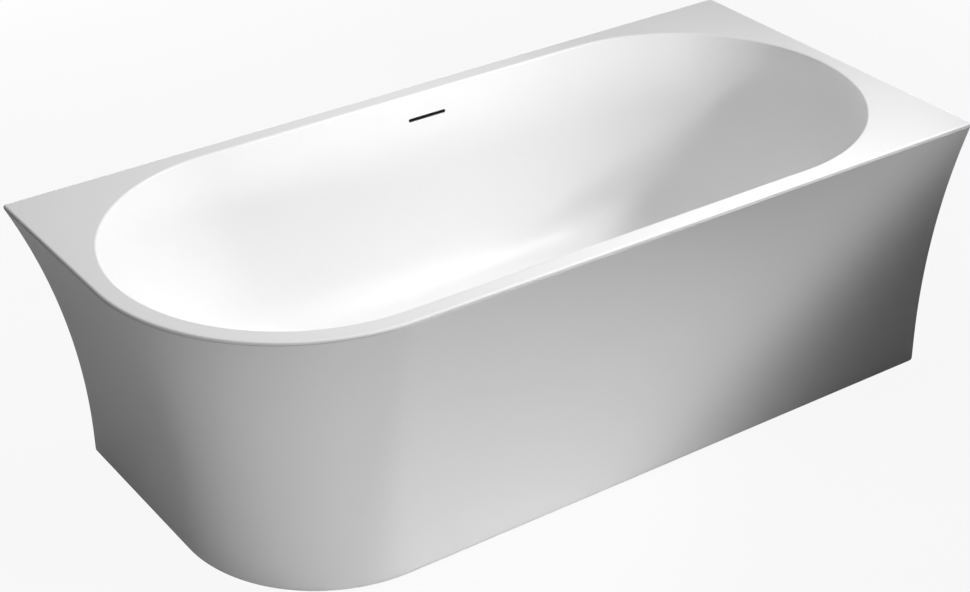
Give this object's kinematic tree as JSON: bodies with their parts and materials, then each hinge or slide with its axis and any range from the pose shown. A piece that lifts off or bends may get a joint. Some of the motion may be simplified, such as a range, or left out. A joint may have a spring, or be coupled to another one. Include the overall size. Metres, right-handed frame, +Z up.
{
  "type": "corner freestanding bathtub",
  "caption": "White acrylic bathtub for a room corner: two flat wall sides, a flared apron round one large corner, oval-ended basin with a slot overflow and a push plug.",
  "frame": {"origin": "on the floor, under the middle of the tub's box", "axes": "+X along the tub to its flat wall end, +Y to the long wall, +Z up"},
  "size_m": [1.7, 0.8, 0.6],
  "materials": {
    "white_acrylic": "gloss",
    "white_adhesive": "satin",
    "board": "raw",
    "zinc_steel": "zinc plated",
    "black_plastic": "matt",
    "black_rubber": "matt",
    "chrome": "polished",
    "white_pipe": "satin"
  },
  "bodies": {
    "tub": {"tub_shell": "white_acrylic", "apron": "white_acrylic", "rim_bond": "white_adhesive", "base_board": "board", "rail_left": "zinc_steel", "rail_right": "zinc_steel", "rail_end_caps": "black_plastic", "apron_blocks": "board", "board_screws": "zinc_steel", "centre_plate": "zinc_steel", "foot_weld_nuts": "zinc_steel", "foot_lock_nuts": "zinc_steel", "flange_seal": "black_rubber", "waste_flange": "chrome", "cartridge": "chrome", "plug_spring": "zinc_steel", "floor_washer": "black_rubber", "waste_body": "white_pipe", "trap_nut": "white_pipe", "trap_seal": "black_rubber", "trap_pipe": "white_pipe", "slot_liner": "black_plastic", "overflow_gasket": "black_rubber", "overflow_box": "black_plastic", "overflow_pipe": "white_pipe", "overflow_nut_top": "white_pipe", "overflow_nut_bottom": "white_pipe", "overflow_seals": "black_rubber"},
    "plug": {"plug_cap": "chrome", "plug_stem": "chrome", "plug_seal": "black_rubber"},
    "foot_front_left": {"foot_front_left_stud": "zinc_steel", "foot_front_left_pad": "black_plastic", "foot_front_left_sole": "black_rubber"},
    "foot_front_right": {"foot_front_right_stud": "zinc_steel", "foot_front_right_pad": "black_plastic", "foot_front_right_sole": "black_rubber"},
    "foot_back_left": {"foot_back_left_stud": "zinc_steel", "foot_back_left_pad": "black_plastic", "foot_back_left_sole": "black_rubber"},
    "foot_back_right": {"foot_back_right_stud": "zinc_steel", "foot_back_right_pad": "black_plastic", "foot_back_right_sole": "black_rubber"},
    "foot_centre": {"foot_centre_stud": "zinc_steel", "foot_centre_pad": "black_plastic", "foot_centre_sole": "black_rubber"}
  },
  "joints": [
    {"name": "plug_slide", "type": "slide", "parent": "tub", "child": "plug", "axis": [0, 0, 1], "range_m": [0, 0.009], "deforming": ["plug_spring"]},
    {"name": "foot_front_left_screw", "type": "slide", "parent": "tub", "child": "foot_front_left", "axis": [0, 0, 1], "range_m": [-0.01, 0.012]},
    {"name": "foot_front_right_screw", "type": "slide", "parent": "tub", "child": "foot_front_right", "axis": [0, 0, 1], "range_m": [-0.01, 0.012]},
    {"name": "foot_back_left_screw", "type": "slide", "parent": "tub", "child": "foot_back_left", "axis": [0, 0, 1], "range_m": [-0.01, 0.012]},
    {"name": "foot_back_right_screw", "type": "slide", "parent": "tub", "child": "foot_back_right", "axis": [0, 0, 1], "range_m": [-0.01, 0.012]},
    {"name": "foot_centre_screw", "type": "slide", "parent": "tub", "child": "foot_centre", "axis": [0, 0, 1], "range_m": [-0.01, 0.012]}
  ]
}
